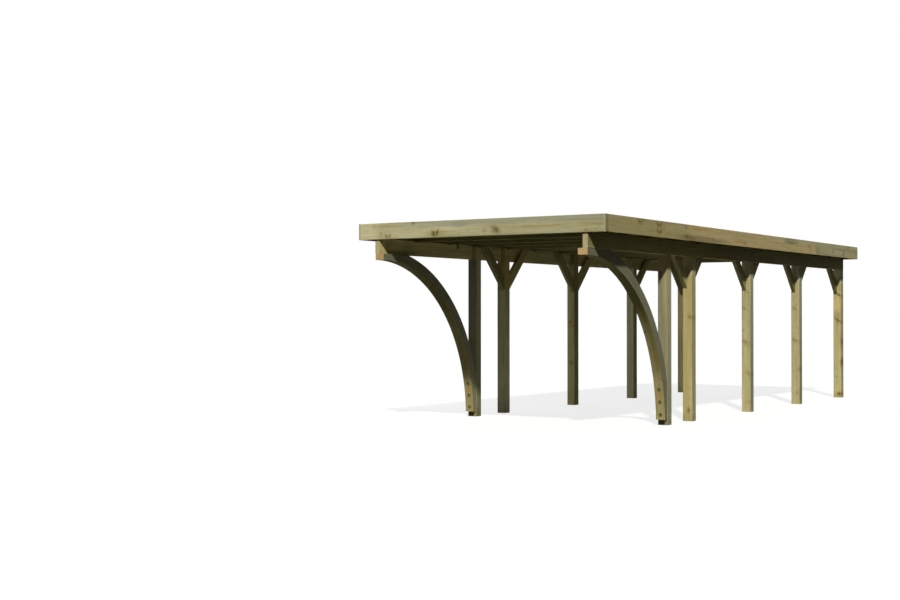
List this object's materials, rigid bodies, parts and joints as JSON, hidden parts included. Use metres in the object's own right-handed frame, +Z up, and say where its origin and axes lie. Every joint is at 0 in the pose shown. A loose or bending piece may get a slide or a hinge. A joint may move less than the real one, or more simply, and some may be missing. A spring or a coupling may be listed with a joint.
{
  "type": "flat-roofed carport",
  "caption": "Flat-roofed timber carport: square posts with knee braces carry two long purlins and a boarded roof, with arched braces at the entry.",
  "frame": {"origin": "on the ground, under the middle of the roof", "axes": "+X to the right across the drive, +Y from the entry to the rear, +Z up"},
  "size_m": [3.14, 8.6, 2.31],
  "materials": {
    "post_timber": "planed, green-brown pressure treated pine",
    "beam_timber": "planed, green-brown pressure treated pine",
    "arch_timber": "planed, laminated and bent, pressure treated pine",
    "edge_board_timber": "planed, green-brown pressure treated pine",
    "rafter_timber": "planed, green-brown pressure treated pine",
    "roof_boarding": "planed softwood boards",
    "roofing_felt": "matt, mineral faced"
  },
  "bodies": {
    "root": {"left_arch_post": "post_timber", "left_post_1": "post_timber", "left_post_2": "post_timber", "left_post_3": "post_timber", "left_post_4": "post_timber", "left_purlin": "beam_timber", "left_arch": "arch_timber", "left_knee_1_front": "beam_timber", "left_knee_1_rear": "beam_timber", "left_knee_2_front": "beam_timber", "left_knee_2_rear": "beam_timber", "left_knee_3_front": "beam_timber", "left_knee_3_rear": "beam_timber", "left_knee_4_front": "beam_timber", "right_arch_post": "post_timber", "right_post_1": "post_timber", "right_post_2": "post_timber", "right_post_3": "post_timber", "right_post_4": "post_timber", "right_purlin": "beam_timber", "right_arch": "arch_timber", "right_knee_1_front": "beam_timber", "right_knee_1_rear": "beam_timber", "right_knee_2_front": "beam_timber", "right_knee_2_rear": "beam_timber", "right_knee_3_front": "beam_timber", "right_knee_3_rear": "beam_timber", "right_knee_4_front": "beam_timber", "front_board": "edge_board_timber", "rear_board": "edge_board_timber", "left_board": "edge_board_timber", "right_board": "edge_board_timber", "rafters": "rafter_timber", "roof_boarding": "roof_boarding", "roof_felt": "roofing_felt"}
  },
  "joints": []
}
